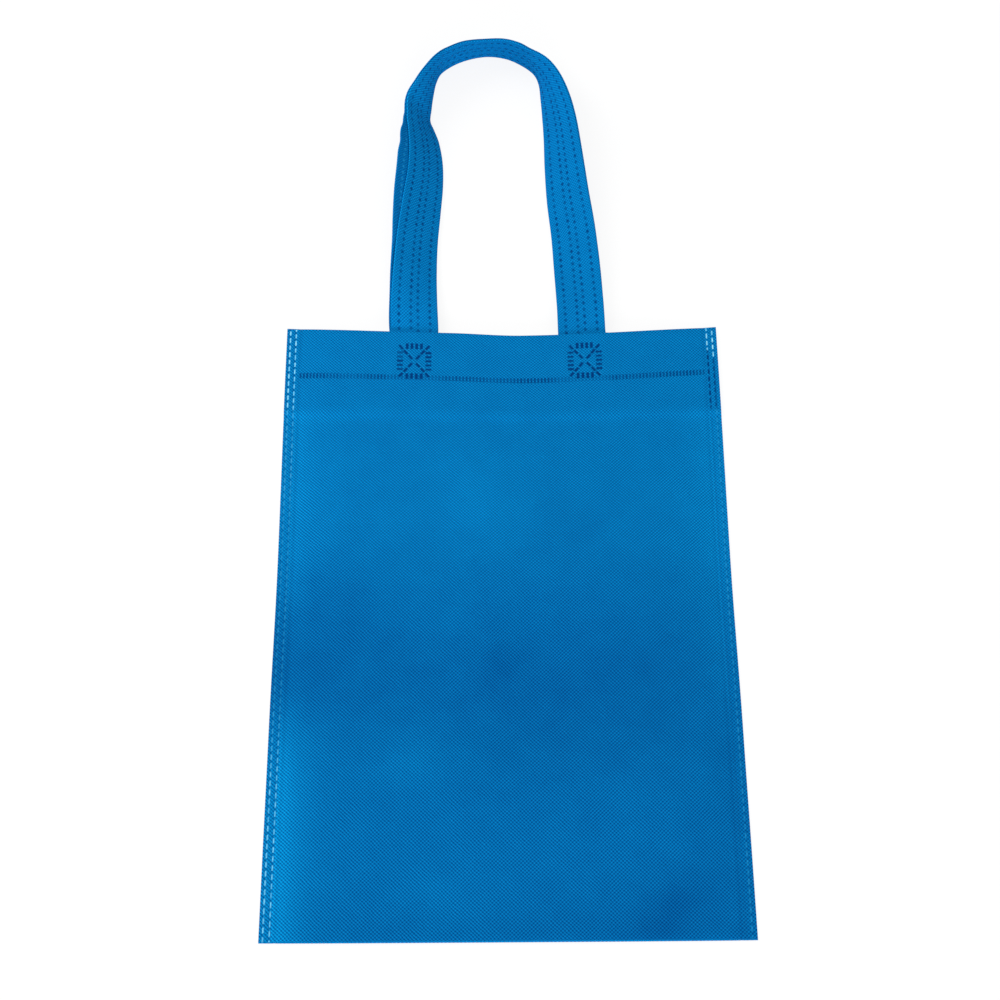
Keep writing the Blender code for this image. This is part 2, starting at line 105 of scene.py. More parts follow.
# Fainter dashes over each box: shift, least strength, half width, fade
HEM_FAINT = ((0.0, 0.62, 0.014, 0.006), (0.002, 0.55, 0.012, 0.008))
MARK_SOFTNESS = 0.0003  # of an edge
HEM_SOFTNESS = 0.0004
SEAM_ROWS = {-1: (0.0021, 0.0055), 1: (0.0027, 0.0060)}  # outer, inner, from the edge
SEAM_DASH = (0.0004, 0.0016)
SEAM_PITCH = 0.0050
SEAM_PHASE = 0.37  # of the inner row, share of the pitch
SEAM_PHASE_RIGHT = 0.15
SEAM_SPREAD = 0.00015  # of a dark mark beyond a bright one
SEAM_SHADOW = (0.00045, 0.0011)  # half width and length, between marks
SEAM_SHADOW_SHIFT = 0.0004  # outwards
SEAM_GROOVE = (0.0001, 0.20)  # half width, strength of a dark line where the pouch rises from the seam: partly the weld's darker pressed line, partly painted shade in the groove
# Seam marks: painted highlights (glint), the dashes' own darkness (shade), painted shadows
# between dashes (beside)
GLINT_CHANCE = (0.65, 0.35)  # least, more by chance
SHADE_CHANCE = (0.75, 0.25)
LEFT_BRIGHT = 0.22
LEFT_BRIGHT_LOW = (0.46, 0.40, 0.22)  # more below: amount, from, over
LEFT_BRIGHT_HIGH = (0.18, 0.60, 0.16)  # more above
LEFT_BRIGHT_HEM = 0.92
LEFT_SHADE = 0.25
LEFT_BESIDE = (0.40, 0.15)  # shadow between marks, more in the hem
RIGHT_BRIGHT = ((0.22, 0.0), (0.04, 0.0))  # each row: below the hem, in it
RIGHT_SHADE = ((0.10, 0.85), (0.28, 1.15))
RIGHT_BESIDE = ((0.35, 0.45), (0.15, 0.20))
RIGHT_TOP = (0.0225, 0.0055)  # bright this near to the mouth, less inwards
BACK_MARKS = (0.2, 0.3, 0.0)  # bright, shade, beside
BOX_DEPTH = 0.0198
LEFT_BOX_SINK = 0.0016
BOX_WIDTH = 0.0202
BOX_HEIGHT = 0.0260
BOX_BARS_ACROSS = 4
BOX_BARS_DOWN = 5
BOX_UPRIGHT_PITCH = 0.0028
BOX_LEVEL_PITCH = 0.0030
BOX_UPRIGHT_LENGTH = 0.0041
BOX_LEVEL_LENGTH = 0.0035
BOX_BAR_WIDTH = 0.0012
BOX_CROSS_DASHES = 3
BOX_CROSS_GAP = 0.0010
BOX_CROSS_START = 0.0019
BOX_CROSS_REACH = 0.0144
BOX_BAR_SPREAD = 0.0002
BOX_PALE = 0.65  # strength of the left box's faint bars
BOX_PALE_BARS = 2
BOX_RIM = (0.0011, 0.00015, 0.20)  # lit rim: shift, half width, strength
BOX_CLEAR = 0.02  # darkness of a box that hides hem dashes
DOT_ROWS = ((0.17, 0.0), (0.425, 0.0), (0.575, 0.5), (0.83, 0.5))  # share of width, phase
DOT_PITCH = 0.0045
DOT_SIZE = (0.00095, 0.0013)  # half width, half length
DOT_EDGE = (1.25, 0.7)  # end and fade, share of the size
DOT_STRENGTH = (0.58, 0.32)  # least, more by chance
SINK_BY_DARK = 1.3  # a mark's depth by its darkness
SINK_BY_GLINT = 1.2

# Soft relief
FOOT_RELIEF = 0.00022  # of the strap ends under the hem
FOOT_RELIEF_SIDE = (0.0025, 0.6)
FOOT_RELIEF_END = 0.004
SEAM_PUCKER = 0.00007
SEAM_PUCKER_FADE = 0.011
SEAM_PUCKER_WAVES = (0.0051, 0.0083)
HEM_PUCKER = 0.00006
HEM_PUCKER_FADE = 0.006
HEM_PUCKER_WAVES = (0.0043, 0.021)
STRAP_PUFF = 0.00010  # of a strap's upper face between dots
STRAP_PUFF_ROWS = (0.17, 0.33)  # first row and pitch, share of the width

# Painted shade and light of the straps along the left leg: a shadow on the back strap, a
# highlight on the front strap's folded outer edge
LEG_RISE = 0.15  # share of the loop, coming in
LEG_END = (0.85, 0.1)  # where they are gone, over what
FRONT_EDGE_HIGHLIGHT = 0.9
BACK_FACE_SHADE = -0.5
BACK_DOT_GLINT = 0.22

# Painted light and shade on the front panel: its course by share of height, darker below, then
# soft patches of painted light and shade, with place and spreads as shares of the half width
# and the height, turn in degrees and amount
SHADE_COURSE = (
    (0.0, -0.70), (0.12, -0.56), (0.24, -0.65), (0.40, -0.76), (0.68, -0.05), (1.0, -0.06),
)
SHADING_PATCHES = (
    (-0.12, 0.70, 0.22, 0.08, -12, 0.30), (0.30, 0.64, 0.25, 0.08, 0, -0.22),
    (-0.78, 0.53, 0.20, 0.09, 0, -0.25), (0.40, 0.37, 0.38, 0.08, 6, -0.12),
    (-0.40, 0.26, 0.26, 0.06, 0, 0.42), (-0.25, 0.06, 0.28, 0.05, 0, 0.28),
    (0.62, 0.22, 0.28, 0.04, 4, 0.10), (0.66, 0.04, 0.28, 0.06, 15, -0.42),
    (-0.25, 0.48, 0.30, 0.08, 0, 0.12), (0.00, 0.40, 0.14, 0.10, -10, -0.20),
)
# Painted light along the side margins, strongest low on the left, weaker in the hem
MARGIN_START = 0.0064  # from the edge, lightest here
MARGIN_FADE = 0.10  # inwards, share of the half width
MARGIN_OUTSIDE = 0.45  # share nearer to the edge
MARGIN_LIGHT = 0.62
MARGIN_LIGHT_LOW = 1.85  # below, on the left
MARGIN_FROM = (0.42, 0.40, 0.26)  # left and up, left and down, right and up
MARGIN_OVER = 0.16  # of the height
MARGIN_HEM_LOSS = 0.7  # in the hem
SHADING_REACH = 0.40  # lightest and darkest, as a share of the cloth's colour

# Worked out from the sizes above
HALF_WIDTH = BAG_WIDTH / 2
POUCH_EDGE = HALF_WIDTH - SEAM_WIDTH
SEAM_STACK = 2 * SHEET + LAYER_GAP
HEM_THICKNESS = 2 * SHEET + LAYER_GAP
HEM_STACK = 2 * HEM_THICKNESS + LAYER_GAP
HEM_EDGE = BAG_HEIGHT - HEM_DEPTH
HEM_WELD_LINE = BAG_HEIGHT - HEM_WELD_DEPTH
MOUTH_LINE = BAG_HEIGHT - HEM_THICKNESS / 2
STRAP_THICKNESS = 2 * SHEET + LAYER_GAP / 2
STRAP_STACK = 2 * STRAP_THICKNESS + PIECE_GAP

# Grids
ARC_STEPS = 6
SEAM_ZONES = ((0.0012, 0.0034), (0.0046, 0.0069))  # from the edge, fine for the rows
HEM_BAND = 0.0030  # half of the fine band at the dashes
HEM_BAND_MORE = 0.0014  # above it, where the row rises
HEM_DETAIL = 0.0040
BOX_MARGIN = (0.0015, 0.0035)  # fine cells beside and over a box
PANEL_ROWS = (84, 2, 6, 2, 8)  # cells: panel, step, hem, band, mouth
FRONT_FINE = ((7, 8), (6, 12))  # steps: seam and hem columns, rows and band
BACK_FINE = ((4, 4), (3, 6))
SEAM_CELLS = 5  # columns outside the pouch on each side
INNER_ROWS = 24
INNER_STEP = 4  # outer columns to one inner column
RIM_CLOTH = 0.002  # cloth taken up inside a rim
FRAME_TRIES = 60  # for each station of the strap
FRAMES_PER_DOT = 8
STRAP_COLUMNS = 20
DOT_COLUMN_STEP = 0.0004
DOT_COLUMN_REACH = 3  # steps on each side of a row of dots
DOT_COLUMN_CLEAR = 0.0017
FLAP_SHARES = (0.16, 0.32, 0.46)
EDGE_TURNS = (-60, -30, 0, 30, 60)

# Cloth colours, dark and light, and the lattice of bonds
BAG_COLOURS = (0.0, 0.044, 0.215), (0.0024, 0.321, 0.755)
STRAP_COLOURS = (0.0001, 0.068, 0.265), (0.0023, 0.308, 0.748)
WHITE = (1.0, 1.0, 1.0, 1.0)
MARK_COLOUR = (0.0006, 0.038, 0.180, 1.0)
GLINT_COLOURS = (0.015, 0.41, 0.82, 1.0), (0.42, 0.86, 0.97, 1.0)
CLOTH_RELIEF = 0.00016
LATTICE_WANDER = 0.5
LATTICE_STREAK = 1.1  # one diagonal over the other by chance
LATTICE_LEAN = 0.16  # for the falling one, less per mm
LATTICE_LEAN_LOSS = 0.0017
BOND_SHARE = 0.84  # of the colour
FIBRE_SHARE = 0.16
PATCH_REACH = 0.22
SHADING_AND_PATCHES_IN_BLUE = 0.72  # blue changes less than red and green
MARK_COVER = 0.95
GLINT_COVER = 1.6

# Lamps: name, place, target, size and power
LAMPS = (
    ("key", (-0.95, 0.60, 0.80), (0.0, 0.05, 0.0), 0.9, 8.5),
    ("fill", (1.2, -0.6, 1.0), (0.0, 0.0, 0.0), 1.2, 4.6),
    ("front", (0.1, -3.0, 1.1), (0.0, 0.3, 0.0), 1.2, 62.0),
)
SKY = 0.52  # as a light
SKY_SEEN = 0.48  # more where it is seen

# Camera, fitted to the photograph
CAMERA_PLACE = (-0.012788, -0.527569, 1.068715)
CAMERA_HEADING = -1.0258
CAMERA_TILT = 29.2703
CAMERA_ROLL = 0.6185
CAMERA_LENS = 77.5


def ease(t):
    t = np.clip(t, 0.0, 1.0)
    return t * t * (3 - 2 * t)


def blend(low, high, t):
    return low + (high - low) * t


def through_knots(knots, at):
    """Curve that eases from each knot to the next, for a number or an array."""
    at = np.asarray(at, float)
    out = np.full(at.shape, knots[-1][1], float)
    for (start, low), (end, high) in list(zip(knots, knots[1:]))[::-1]:
        out = np.where(at <= end, blend(low, high, ease((at - start) / (end - start))), out)
    return out


def chance(index, salt=0.0):
    """A fixed pseudo-random share, 0 to 1, for a whole number."""
    value = np.sin(np.asarray(index, float) * 12.9898 + salt * 78.233 + 0.7) * 43758.5453
    return value - np.floor(value)


# The shape of the front panel

def swell(across, along):
    share = np.minimum(np.abs(across) / POUCH_EDGE, 1.0)
    dome = 1 - share ** SWELL_SQUARENESS
    height = through_knots(SWELL_KNOTS, along / BAG_HEIGHT)
    quiet = ease((1 - along / BAG_HEIGHT) / 0.2) * ease(along / BAG_HEIGHT / 0.1)
    for x, y, wide, tall, rise in HILLS:
        far = ((across / POUCH_EDGE - x) / wide) ** 2 + ((along / BAG_HEIGHT - y) / tall) ** 2
        height = height + rise * quiet / (1 + far) ** 2
    return dome * height


def front_height(across, along):
    in_hem = ease((along - HEM_EDGE + HEM_STEP) / HEM_STEP)
    at_pouch = blend(SEAM_STACK, HEM_STACK, in_hem)
    at_edge = blend(2 * SHEET, 4 * SHEET, in_hem)
    share = np.maximum(np.abs(across) - POUCH_EDGE, 0.0) / SEAM_WIDTH
    return blend(at_pouch, at_edge, share) + swell(across, along)


def place(across, along):
    share = across / HALF_WIDTH
    slack = blend(1.0, LEFT_SLACK, ease((0.1 - share) / 0.35))
    dip = MOUTH_DIP * slack * (1 - share ** 2)
    y = along - BAG_HEIGHT / 2 - dip * np.maximum(along / BAG_HEIGHT, 0.0) ** 1.5
    arch = through_knots(SWELL_KNOTS, along / BAG_HEIGHT)
    pull = 4 / 3 * arch ** 2 / BAG_WIDTH
    return across * (1 - pull / HALF_WIDTH), y


# Weld marks on the panels

def bar(far_x, far_y, half_x, half_y, soft=MARK_SOFTNESS):
    """1 inside a bar with soft edges, 0 outside."""
    in_x = ease((half_x - np.abs(far_x)) / soft + 0.5)
    in_y = ease((half_y - np.abs(far_y)) / soft + 0.5)
    return in_x * in_y


def box_bars():
    """Bars of a box weld: place, length, turn and strength of each."""
    bars = []
    edge_y = (BOX_HEIGHT - BOX_UPRIGHT_LENGTH) / 2
    edge_x = (BOX_WIDTH - BOX_LEVEL_LENGTH) / 2
    for side in (-1, 1):
        for k in range(BOX_BARS_ACROSS):
            x = (k - (BOX_BARS_ACROSS - 1) / 2) * BOX_UPRIGHT_PITCH
            bars.append((x, side * edge_y, BOX_UPRIGHT_LENGTH, pi / 2, 1.0))
        for k in range(BOX_BARS_DOWN):
            y = (k - (BOX_BARS_DOWN - 1) / 2) * BOX_LEVEL_PITCH
            pale = side < 0 and k >= BOX_BARS_DOWN - BOX_PALE_BARS
            strength = BOX_PALE if pale else 1.0
            bars.append((side * edge_x, y, BOX_LEVEL_LENGTH, 0.0, strength))
    pitch = (BOX_CROSS_REACH - BOX_CROSS_START + BOX_CROSS_GAP) / BOX_CROSS_DASHES
    dash = pitch - BOX_CROSS_GAP
    lean = atan2(BOX_HEIGHT, BOX_WIDTH)
    for turn in (lean, pi - lean):
        for side in (-1, 1):
            for k in range(BOX_CROSS_DASHES):
                far = side * (BOX_CROSS_START + dash / 2 + k * pitch)
                bars.append((far * cos(turn), far * sin(turn), dash, turn, 1.0))
    return bars


def box_middles():
    return [HANDLE_SHIFT + side * HANDLE_SPACING / 2 for side in (-1, 1)]


def box_marks(across, along):
    """Dark marks of the box welds, and the lit upper rims of their falling diagonals."""
    dark = np.zeros_like(across)
    lit = np.zeros_like(across)
    off, half, light = BOX_RIM
    for middle in box_middles():
        x = across - middle
        y = along - (BAG_HEIGHT - BOX_DEPTH - (LEFT_BOX_SINK if middle < 0 else 0.0))
        for bar_x, bar_y, length, turn, strength in box_bars():
            u = (x - bar_x) * cos(turn) + (y - bar_y) * sin(turn)
            v = (y - bar_y) * cos(turn) - (x - bar_x) * sin(turn)
            mark = bar(u, v, length / 2, BOX_BAR_WIDTH / 2 + BOX_BAR_SPREAD)
            dark = np.maximum(dark, (strength if middle < 0 else 1.0) * mark)
            if turn > pi / 2:
                lit = np.maximum(lit, bar(u, v + off, length / 2, half))
    return dark, light * lit * (1 - dark)


def hem_marks(across, along):
    """Dark dashes of the hem's weld row, fainter over the boxes."""
    pitch = 2 * POUCH_EDGE / HEM_DASHES
    index = np.floor((across + POUCH_EDGE) / pitch)
    x = across + POUCH_EDGE - (index + 0.5) * pitch
    share = across / POUCH_EDGE
    rise = HEM_ROW_RISE[0] * np.maximum(share, 0.0) ** 3 + HEM_ROW_RISE[1] * share ** 2
    up = along - HEM_WELD_LINE - rise
    mark = bar(x, up, *HEM_DASH, HEM_SOFTNESS)
    short, long = [np.sin(index * turn + start) for turn, start in HEM_PATCHES]
    patch = 0.5 + 0.5 * short * long
    every, lucky, patchy = HEM_STRENGTH
    strength = every + lucky * chance(index, 3.0) + patchy * patch
    mark = mark * strength * (np.abs(across) < POUCH_EDGE)
    fresh = 1.0
    for middle, (shift, least, half, fade) in zip(box_middles(), HEM_FAINT):
        away = np.abs(across - middle + shift)
        fresh = fresh * blend(least, 1.0, ease((away - half) / fade))
    return mark * fresh


def seam_marks(across, along, on_front):
    """Dark and bright marks of the two weld rows along each side: dark weld dashes, painted
    highlights on the dashes and painted shadows between them.
    """
    dark = np.zeros_like(across)
    glint = np.zeros_like(across)
    for side, rows in SEAM_ROWS.items():
        for number, row in enumerate(rows):
            phase = SEAM_PHASE * number + (SEAM_PHASE_RIGHT if side > 0 else 0.0)
            steps = along / SEAM_PITCH + phase
            index = np.floor(steps)
            y = (steps - index - 0.5) * SEAM_PITCH
            off = HALF_WIDTH - row - side * across
            mark = bar(off, y, *SEAM_DASH)
            luck = chance(index, 5.0 * side + number)
            share = along / BAG_HEIGHT
            in_hem = ease((along - HEM_EDGE) / 0.004)
            if side < 0:
                more, start, over = LEFT_BRIGHT_LOW
                low = more * ease((start - share) / over)
                more, start, over = LEFT_BRIGHT_HIGH
                high = more * ease((share - start) / over)
                bright = blend(LEFT_BRIGHT + low + high, LEFT_BRIGHT_HEM, in_hem)
                shade = LEFT_SHADE * (1 - in_hem)
                beside = LEFT_BESIDE[0] + LEFT_BESIDE[1] * in_hem
            else:
                line = BAG_HEIGHT - RIGHT_TOP[0] + RIGHT_TOP[1] * number
                top = ease((along - line) / 0.002)
                bright = blend(blend(*RIGHT_BRIGHT[number], in_hem), 1.0, top)
                shade = blend(*RIGHT_SHADE[number], in_hem) * (1 - top)
                beside = blend(*RIGHT_BESIDE[number], in_hem)
            if not on_front:
                bright, shade, beside = BACK_MARKS
            late = (steps + 0.5 - np.floor(steps + 0.5) - 0.5) * SEAM_PITCH
            shadow_off = HALF_WIDTH - row + SEAM_SHADOW_SHIFT - side * across
            shadow = bar(shadow_off, late, *SEAM_SHADOW)
            lucky = GLINT_CHANCE[0] + GLINT_CHANCE[1] * luck
            glint = np.maximum(glint, mark * bright * lucky)
            wide = bar(off, y, SEAM_DASH[0] + SEAM_SPREAD, SEAM_DASH[1])
            lucky = SHADE_CHANCE[0] + SHADE_CHANCE[1] * luck
            dark = np.maximum(dark, np.minimum(wide * shade * lucky, 1.0))
            dark = np.maximum(dark, shadow * beside * (1 - mark))
    half, strength = SEAM_GROOVE
    groove = np.abs(POUCH_EDGE - np.abs(across)) < half
    return np.maximum(dark, strength * groove), glint


# The refined grids

class Lines:
    """Grid lines along one axis: base lines, each base step with its fine lines."""

    def __init__(self, stops):
        """stops: (position, fine steps from here to the next)."""
        self.values = []
        self.base = []
        for (start, steps), (end, _) in zip(stops, stops[1:]):
            self.base.append(len(self.values))
            self.values += [blend(start, end, k / steps) for k in range(steps)]
        self.base.append(len(self.values))
        self.values.append(stops[-1][0])


def spaced(start, end, count, fine):
    """count base steps from start to end, each with that many fine steps."""
    return [(blend(start, end, k / count), fine) for k in range(count)]


def column_stops(seam_fine, hem_fine):
    left = [(-HALF_WIDTH, 1)]
    for start, end in SEAM_ZONES:
        left += [(start - HALF_WIDTH, seam_fine), (end - HALF_WIDTH, 1)]
    middle = spaced(-POUCH_EDGE, POUCH_EDGE, HEM_DASHES, hem_fine)
    right = [(POUCH_EDGE, 1)]
    for start, end in SEAM_ZONES[::-1]:
        right += [(HALF_WIDTH - end, seam_fine), (HALF_WIDTH - start, 1)]
    return left + middle + right + [(HALF_WIDTH, 1)]


def row_stops(fine, band_fine):
    in_panel, in_step, to_band, in_band, to_mouth = PANEL_ROWS
    band_start = HEM_WELD_LINE - HEM_BAND
    band_end = HEM_WELD_LINE + HEM_BAND + HEM_BAND_MORE
    stops = spaced(SEAM_STACK, HEM_EDGE - HEM_STEP, in_panel, fine)
    stops += spaced(HEM_EDGE - HEM_STEP, HEM_EDGE, in_step, fine)
    stops += spaced(HEM_EDGE, band_start, to_band, fine)
    stops += spaced(band_start, band_end, in_band, band_fine)
    stops += spaced(band_end, MOUTH_LINE, to_mouth, fine)
    return stops + [(MOUTH_LINE, 1)]


def grid_polygons(columns, rows, wants):
    """Polygons, as (column, row) corners, of a grid whose wanted base cells are fine."""
    across = [columns.values[i] for i in columns.base]
    along = [rows.values[j] for j in rows.base]
    wide = len(across) - 1
    tall = len(along) - 1
    fine = [[wants(across[a], across[a + 1], along[b], along[b + 1]) for b in range(tall)]
            for a in range(wide)]

    def side_points(lines, k, is_fine):
        first, last = lines.base[k], lines.base[k + 1]
        return list(range(first, last + 1)) if is_fine else [first, last]

    polygons = []
    for a in range(wide):
        for b in range(tall):
            here = fine[a][b]
            xs = side_points(columns, a, here)
            ys = side_points(rows, b, here)
            below = side_points(columns, a, here or (b > 0 and fine[a][b - 1]))
            above = side_points(columns, a, here or (b < tall - 1 and fine[a][b + 1]))
            left = side_points(rows, b, here or (a > 0 and fine[a - 1][b]))
            right = side_points(rows, b, here or (a < wide - 1 and fine[a + 1][b]))
            for i, (x0, x1) in enumerate(zip(xs, xs[1:])):
                for j, (y0, y1) in enumerate(zip(ys, ys[1:])):
                    bottom = [k for k in below if x0 <= k <= x1] if j == 0 else [x0, x1]
                    top = [k for k in above if x0 <= k <= x1] if j == len(ys) - 2 else [x0, x1]
                    start = [k for k in left if y0 <= k <= y1] if i == 0 else [y0, y1]
                    end = [k for k in right if y0 <= k <= y1] if i == len(xs) - 2 else [y0, y1]
                    loop = [(k, y0) for k in bottom]
                    loop += [(x1, k) for k in end[1:]]
                    loop += [(k, y1) for k in top[::-1][1:]]
                    loop += [(x0, k) for k in start[::-1][1:-1]]
                    polygons.append(loop)
    return polygons


def wants_detail(x0, x1, y0, y1):
    """Whether a base cell is cut finely."""
    middle = (x0 + x1) / 2
    along = (y0 + y1) / 2
    far = HALF_WIDTH - abs(middle)
    if far < SEAM_WIDTH:
        return any(start < far < end for start, end in SEAM_ZONES)
    if abs(along - HEM_WELD_LINE) < HEM_DETAIL:
        return True
    beside, over = BOX_MARGIN
    near_x = min(abs(middle - m) for m in box_middles()) < BOX_WIDTH / 2 + beside
    near_y = abs(along - (BAG_HEIGHT - BOX_DEPTH)) < BOX_HEIGHT / 2 + over + LEFT_BOX_SINK
    return near_x and near_y


# The body

def tone(across, along):
    """Painted light and shade over the front panel: darker below, soft patches, lighter side
    margins.
    """
    share = across / HALF_WIDTH
    height = along / BAG_HEIGHT
    total = through_knots(SHADE_COURSE, height)
    for x, y, wide, tall, turn, amount in SHADING_PATCHES:
        u = (share - x) * cos(radians(turn)) + (height - y) * sin(radians(turn))
        v = (height - y) * cos(radians(turn)) - (share - x) * sin(radians(turn))
        total = total + amount / (1 + (u / wide) ** 2 + (v / tall) ** 2) ** 2
    inward = (HALF_WIDTH - MARGIN_START - np.abs(across)) / HALF_WIDTH
    margin = np.where(inward > 0, np.exp(-inward / MARGIN_FADE), MARGIN_OUTSIDE)
    left_up, left_down, right_up = MARGIN_FROM
    upper = MARGIN_LIGHT * ease((height - left_up) / MARGIN_OVER)
    lower = MARGIN_LIGHT_LOW * ease((left_down - height) / MARGIN_OVER)
    right = MARGIN_LIGHT * ease((height - right_up) / MARGIN_OVER)
    edge = np.where(share < 0, upper + lower, right)
    below_hem = 1 - MARGIN_HEM_LOSS * ease((along - HEM_EDGE + 0.001) / 0.002)
    return total + margin * edge * below_hem


def foot_relief(across, along):
    """How the strap ends under the front hem lift it."""
    lift = np.zeros_like(across)
    soft, share = FOOT_RELIEF_SIDE
    for middle in box_middles():
        over = ease((STRAP_WIDTH / 2 - np.abs(across - middle)) / soft + share)
        end = ease((along - (BAG_HEIGHT - STRAP_TUCK)) / FOOT_RELIEF_END)
        lift = np.maximum(lift, over * end)
    return FOOT_RELIEF * lift


def ripple(across, along):
    """Small puckers along the side seams and the hem's weld row."""
    inner = POUCH_EDGE - np.abs(across)
    near_seam = np.exp(-np.maximum(inner, 0.0) / SEAM_PUCKER_FADE) * (inner > 0)
    side = np.where(across > 0, 1.7, 0.0)
    short, long = SEAM_PUCKER_WAVES
    wave = np.sin(along / short + side) + 0.7 * np.sin(along / long + 2.1 * side + 0.6)
    seam = SEAM_PUCKER * near_seam * ease(inner / 0.003) * wave
    near_hem = np.exp(-np.abs(along - HEM_WELD_LINE) / HEM_PUCKER_FADE)
    short, long = HEM_PUCKER_WAVES
    hem = HEM_PUCKER * near_hem * np.sin(across / short + 2.0 * np.sin(across / long))
    return seam + hem * ease(inner / 0.006)


class Body:
    """Vertices and polygons of the folded, hemmed and side-welded sheet."""

    def __init__(self):
        self.points = []
        self.cloth = []
        self.dark = []
        self.glint = []
        self.tone = []
        self.faces = []

    def add(self, point, cloth, dark=0.0, glint=0.0, shade=0.0):
        self.points.append(tuple(float(c) for c in point))
        self.cloth.append((float(cloth[0]), float(cloth[1])))
        self.dark.append(float(dark))
        self.glint.append(float(glint))
        self.tone.append(float(shade))
        return len(self.points) - 1

    def panel(self, columns, rows, on_front):
        """One outer face; returns its vertices by (column, row)."""
        polygons = grid_polygons(columns, rows, wants_detail)
        keys = sorted({key for loop in polygons for key in loop})
        across = np.array([columns.values[i] for i, j in keys])
        along = np.array([rows.values[j] for i, j in keys])
        x, y = place(across, along)
        seam_dark, glint = seam_marks(across, along, on_front)
        box_dark, box_lit = box_marks(across, along)
        hem_dark = hem_marks(across, along)
        hem_dark = hem_dark * (box_dark < BOX_CLEAR)
        dark = np.maximum(np.maximum(box_dark, hem_dark), seam_dark)
        by_dark = np.minimum(dark * SINK_BY_DARK, 1.0)
        by_glint = np.minimum(glint * SINK_BY_GLINT, 1.0)
        sink = WELD_SINK * np.maximum(by_dark, by_glint)
        if on_front:
            rise = front_height(across, along) + foot_relief(across, along)
            z = rise + ripple(across, along) - sink
            length = along
        else:
            z = sink
            length = -along
        glint = np.maximum(glint, box_lit)
        # Painted light and shade, on the front panel only
        shade = tone(across, along) if on_front else np.zeros_like(across)
        found = {}
        for k, key in enumerate(keys):
            spot = (x[k], y[k], z[k])
            found[key] = self.add(spot, (across[k], length[k]), dark[k], glint[k], shade[k])
        for loop in polygons:
            self.faces.append([found[key] for key in loop])
        return found

    def arc(self, across, along, top, bottom, way, length):
        """Vertices round a fold, from its top down, without its two ends."""
        x, y = place(across, along)
        middle = (top + bottom) / 2
        radius = (top - bottom) / 2
        made = []
        for step in range(1, ARC_STEPS):
            turn = pi * step / ARC_STEPS
            spot = (x, y + way * radius * sin(turn), middle + radius * cos(turn))
            made.append(self.add(spot, (across, length + way * radius * turn)))
        return made

    def strip(self, ring_a, ring_b):
        for a, b, c, d in zip(ring_a, ring_a[1:], ring_b[1:], ring_b):
            self.faces.append([a, b, c, d])


def rims_and_fold(body, across, front, back):
    """Rounded top folds and bottom fold of one section: (front rim, bottom, back rim)."""
    top = MOUTH_LINE
    high = body.points[front[-1]][2]
    hem = min(HEM_THICKNESS, (high - LAYER_GAP) / 2)
    front_rim = body.arc(across, top, high, high - hem, 1, top)
    front_rim.append(body.add((*place(across, top), high - hem), (across, top + RIM_CLOTH)))
    low_z = body.points[back[0]][2]
    bottom = body.arc(across, SEAM_STACK, body.points[front[0]][2], low_z, -1, 0.0)
    back_top = body.points[back[-1]][2]
    back_rim = body.arc(across, top, hem, back_top, 1, -top)[::-1]
    back_rim.append(body.add((*place(across, top), hem), (across, -top - RIM_CLOTH)))
    return front_rim, bottom, back_rim


def inner_chain(body, across, rows, hem_row, slit_row):
    """Inside of one section, from the back hem down, round and up to the front hem."""
    def line(height, first, last, sign):
        way = 1 if last >= first else -1
        made = []
        for k in range(first, last + way, way):
            spot = (*place(across, rows[k]), height(rows[k]))
            made.append(body.add(spot, (across, sign * rows[k])))
        return made

    def front(depth):
        return lambda along: front_height(across, along) - depth

    def back(depth):
        return lambda along: depth

    slit = SHEET + LAYER_GAP
    last = len(rows) - 1
    chain = line(back(HEM_THICKNESS), last - 1, hem_row, -1)
    chain += line(back(slit), hem_row, slit_row, -1)
    chain += line(back(SHEET), slit_row, 0, -1)
    top = front(SHEET)(rows[0])
    chain += body.arc(across, rows[0], top, SHEET, -1, 0.0)[::-1]
    chain += line(front(SHEET), 0, slit_row, 1)
    chain += line(front(slit), slit_row, hem_row, 1)
    chain += line(front(HEM_THICKNESS), hem_row, last - 1, 1)
    return chain


def edge_run(found, columns, k, row):
    """A panel's vertices along one of its end rows, over one base cell."""
    first, last = columns.base[k], columns.base[k + 1]
    return [found[i, row] for i in range(first, last + 1) if (i, row) in found]


def fold_flat(body, ring):
    """Faces across a ring, between its two halves."""
    count = len(ring)
    for k in range(count // 2):
        corners = [ring[k], ring[k + 1], ring[count - 2 - k], ring[count - 1 - k]]
        if corners[1] == corners[2]:
            corners.pop(2)
        body.faces.append(corners)


def close_cut_edge(body, ring):
    """Faces over the cut edge at one side of the bag."""
    rim = ring[:ARC_STEPS + 1]
    back_rim = ring[-ARC_STEPS - 1:]
    body.faces.append(rim)
    body.faces.append(back_rim)
    below = ARC_STEPS + 1
    corners = [rim[0], rim[-1], ring[below], ring[-below - 1], back_rim[0], back_rim[-1]]
    body.faces.append(corners)
    fold_flat(body, ring[below:-below])


def close_pouch_side(body, ring, count_rows, hem_row, slit_row):
    """Faces over one side wall of the pouch, with both hems' folds."""
    last = count_rows - 1
    hem_end = last - hem_row
    skin_start = hem_end + 2 + slit_row - hem_row
    skin_hem = skin_start + slit_row - hem_row
    count = len(ring)

    def other(index):
        return ring[count - 1 - index]

    for k in range(hem_end):
        body.faces.append([ring[k], ring[k + 1], other(k + 1), other(k)])
    for k in range(slit_row - hem_row):
        low = hem_end + 1 + k
        high = skin_hem - k
        body.faces.append([ring[low], ring[low + 1], ring[high - 1], ring[high]])
        body.faces.append([other(low), other(low + 1), other(high - 1), other(high)])
    body.faces.append([
        ring[hem_end], ring[hem_end + 1], ring[skin_hem], ring[skin_hem + 1],
        other(skin_hem + 1), other(skin_hem), other(hem_end + 1), other(hem_end),
    ])
    fold_flat(body, ring[skin_hem + 1:count - 1 - skin_hem])


